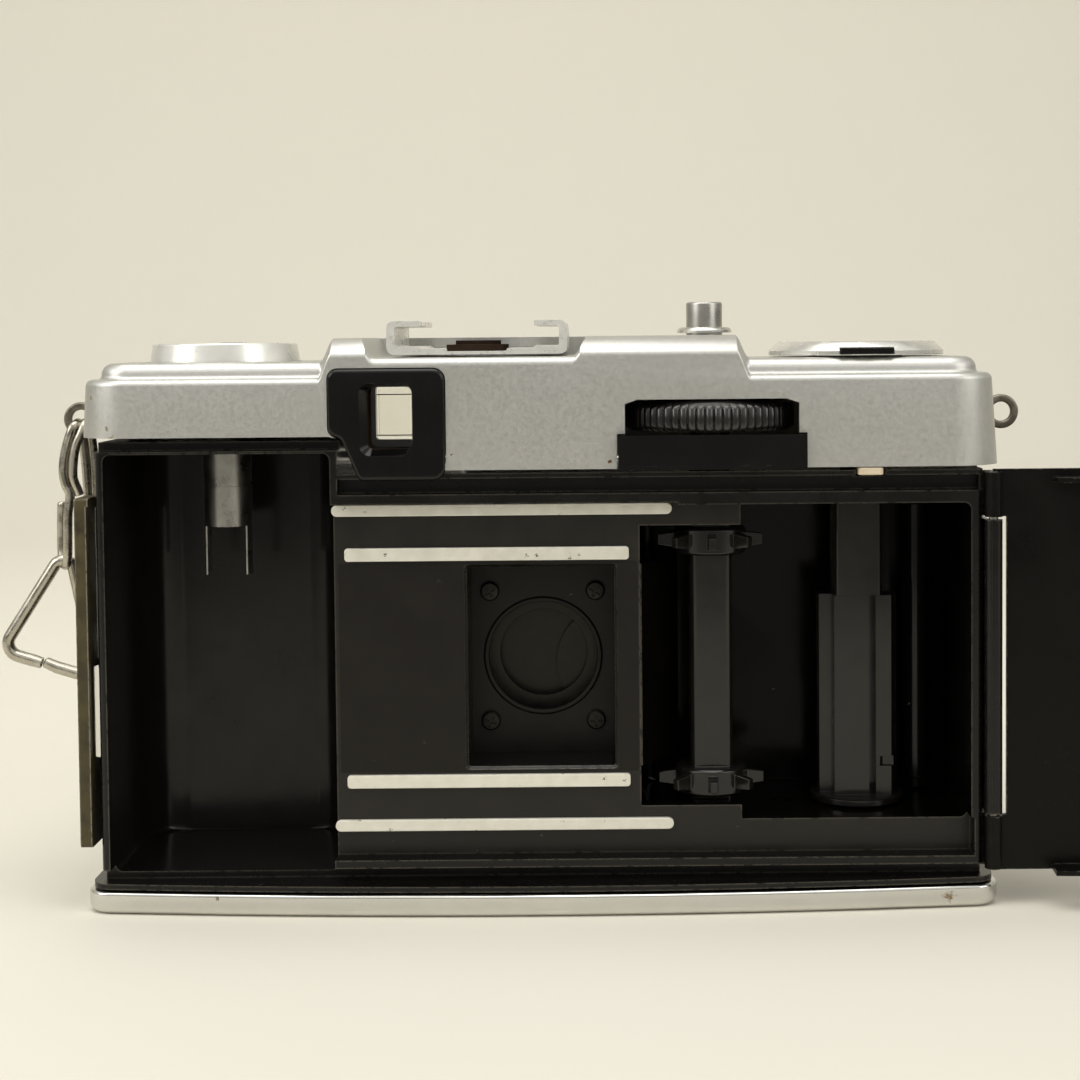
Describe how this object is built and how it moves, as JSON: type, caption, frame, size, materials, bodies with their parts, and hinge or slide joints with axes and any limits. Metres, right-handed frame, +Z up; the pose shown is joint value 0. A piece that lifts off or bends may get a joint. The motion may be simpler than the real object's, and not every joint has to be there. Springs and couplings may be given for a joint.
{
  "type": "half frame camera",
  "caption": "Compact half frame 35 mm film camera with hinged back, thumbwheel advance, rewind crank, accessory shoe, leaf shutter lens and a strap ring on one lug",
  "frame": {"origin": "on the flat underside of the bottom plate, below the lens axis and midway through the body", "axes": "+X to the right when looking at the camera's back, +Y out through the lens, +Z up"},
  "size_m": [0.2282, 0.0531, 0.073],
  "materials": {
    "black_paint": "black painted die-cast light alloy",
    "satin_chrome": "satin chrome",
    "bright_steel": "bright plated steel",
    "black_plastic": "black moulded plastic",
    "leatherette": "black grained leatherette",
    "clear_glass": "clear glass or clear plastic",
    "dark_steel": "blackened steel",
    "brass": "machined brass",
    "cream_plastic": "yellowed white plastic",
    "brown_steel": "worn black-brown paint"
  },
  "bodies": {
    "camera_body": {"body_casting": "black_paint", "top_cover": "satin_chrome", "bottom_plate": "satin_chrome", "tripod_socket": "bright_steel", "front_leather": "leatherette", "sync_socket": "bright_steel", "eyepiece_frame": "black_plastic", "eyepiece_glass": "clear_glass", "finder_front_bezel": "black_plastic", "finder_front_glass": "clear_glass", "accessory_shoe": "satin_chrome", "shoe_insulator": "black_plastic", "shoe_contact": "bright_steel", "button_collar": "bright_steel", "wheel_guard": "black_plastic", "counter_bezel": "satin_chrome", "counter_window": "clear_glass", "lens_mount_plate": "black_paint", "mount_screw_1": "dark_steel", "mount_screw_2": "dark_steel", "mount_screw_3": "dark_steel", "mount_screw_4": "dark_steel", "shutter_housing": "black_paint", "rear_lens_element": "clear_glass", "lens_barrel": "black_paint", "cell_window_ring": "clear_glass", "front_lens_ring": "black_paint", "front_lens_element": "clear_glass", "strap_lug_left": "bright_steel", "strap_lug_right": "bright_steel", "hinge_leaf": "black_paint", "hinge_pin": "bright_steel"},
    "back_door": {"door_panel": "black_paint", "door_leather": "leatherette"},
    "film_plate": {"pressure_plate": "black_paint"},
    "door_latch": {"latch_bar": "brown_steel", "latch_catch": "bright_steel"},
    "rewind_lifter": {"rewind_washer": "brass"},
    "rewind": {"rewind_knob": "satin_chrome", "rewind_shaft": "bright_steel"},
    "crank": {"rewind_crank": "bright_steel"},
    "crank_grip": {"crank_handle": "bright_steel"},
    "release": {"shutter_button": "bright_steel"},
    "wheel": {"advance_wheel": "black_plastic", "drive_gear": "brass"},
    "sprocket": {"film_sprocket": "black_plastic"},
    "spool": {"take_up_spool": "black_plastic", "spool_gear": "brass"},
    "counter": {"counter_dial": "black_plastic"},
    "reset_pin": {"counter_reset_pin": "cream_plastic"},
    "roller": {"film_guide_roller": "dark_steel"},
    "aperture": {"aperture_ring": "satin_chrome"},
    "film_speed": {"film_speed_ring": "satin_chrome"},
    "blade_right": {"shutter_blade_right": "dark_steel"},
    "blade_left": {"shutter_blade_left": "dark_steel"},
    "rewind_release": {"rewind_release_button": "bright_steel"},
    "link": {"strap_link": "bright_steel"},
    "triangle": {"strap_triangle": "bright_steel"}
  },
  "joints": [
    {"name": "door_hinge", "type": "hinge", "parent": "camera_body", "child": "back_door", "pos_m": [0.0541, -0.0125, 0.0285], "axis": [0, 0, 1], "range_deg": [-176, 0]},
    {"name": "pressure_plate_slide", "type": "slide", "parent": "back_door", "child": "film_plate", "axis": [0.0698, 0.9976, 0], "range_m": [0, 0.0008], "stiffness_N_per_m": 400},
    {"name": "latch_slide", "type": "slide", "parent": "camera_body", "child": "door_latch", "axis": [0, 0, -1], "range_m": [0, 0.004], "stiffness_N_per_m": 250, "springref_m": -0.002},
    {"name": "rewind_lift", "type": "slide", "parent": "camera_body", "child": "rewind_lifter", "axis": [0, 0, 1], "range_m": [0, 0.007]},
    {"name": "rewind_spin", "type": "hinge", "parent": "rewind_lifter", "child": "rewind", "pos_m": [-0.0394, 0, 0.066], "axis": [0, 0, 1], "continuous": true},
    {"name": "crank_fold", "type": "hinge", "parent": "rewind", "child": "crank", "pos_m": [-0.0394, 0.0062, 0.0679], "axis": [-1, 0, 0], "range_deg": [0, 175]},
    {"name": "crank_grip_spin", "type": "hinge", "parent": "crank", "child": "crank_grip", "pos_m": [-0.0394, -0.0043, 0.0679], "axis": [0, 0, 1], "continuous": true},
    {"name": "release_press", "type": "slide", "parent": "camera_body", "child": "release", "axis": [0, 0, -1], "range_m": [0, 0.0022], "stiffness_N_per_m": 400, "springref_m": -0.001},
    {"name": "advance_turn", "type": "hinge", "parent": "camera_body", "child": "wheel", "pos_m": [0.0208, -0.004, 0.059], "axis": [0, 0, 1], "continuous": true},
    {"name": "sprocket_turn", "type": "hinge", "parent": "camera_body", "child": "sprocket", "pos_m": [0.0208, -0.004, 0.029], "axis": [0, 0, 1], "continuous": true},
    {"name": "spool_turn", "type": "hinge", "parent": "camera_body", "child": "spool", "pos_m": [0.0394, 0, 0.029], "axis": [0, 0, 1], "continuous": true},
    {"name": "counter_turn", "type": "hinge", "parent": "camera_body", "child": "counter", "pos_m": [0.0394, 0, 0.066], "axis": [0, 0, 1], "continuous": true},
    {"name": "reset_push", "type": "slide", "parent": "camera_body", "child": "reset_pin", "axis": [0, 1, 0], "range_m": [0, 0.0012], "stiffness_N_per_m": 200},
    {"name": "roller_turn", "type": "hinge", "parent": "camera_body", "child": "roller", "pos_m": [0.0478, 0.0062, 0.029], "axis": [0, 0, 1], "continuous": true},
    {"name": "aperture_turn", "type": "hinge", "parent": "camera_body", "child": "aperture", "pos_m": [0, 0.0177, 0.02895], "axis": [0, 1, 0], "range_deg": [0, 110]},
    {"name": "film_speed_turn", "type": "hinge", "parent": "camera_body", "child": "film_speed", "pos_m": [0, 0.0215, 0.02895], "axis": [0, 1, 0], "range_deg": [0, 80]},
    {"name": "blade_right_swing", "type": "hinge", "parent": "camera_body", "child": "blade_right", "pos_m": [0.0024, 0.0026, 0.03835], "axis": [0, -1, 0], "range_deg": [0, 40], "stiffness_Nm_per_rad": 0.002, "springref_deg": -5.73},
    {"name": "blade_left_swing", "type": "hinge", "parent": "camera_body", "child": "blade_left", "pos_m": [-0.0024, 0.0032, 0.03835], "axis": [0, -1, 0], "range_deg": [-40, 0]},
    {"name": "rewind_release_press", "type": "slide", "parent": "camera_body", "child": "rewind_release", "axis": [0, 0, 1], "range_m": [0, 0.001], "stiffness_N_per_m": 300},
    {"name": "strap_link_swing", "type": "hinge", "parent": "camera_body", "child": "link", "pos_m": [-0.0576, 0, 0.0585], "axis": [0, 1, 0], "range_deg": [0, 75]},
    {"name": "strap_triangle_swing", "type": "hinge", "parent": "link", "child": "triangle", "pos_m": [-0.05949, 0, 0.04161], "axis": [0, 1, 0], "range_deg": [-10, 60]}
  ],
  "couplings": [
    {"joint": "sprocket_turn", "follows": "advance_turn", "ratio": 1},
    {"joint": "spool_turn", "follows": "advance_turn", "ratio": -0.75},
    {"joint": "counter_turn", "follows": "advance_turn", "ratio": 0.025},
    {"joint": "blade_left_swing", "follows": "blade_right_swing", "ratio": -1}
  ]
}
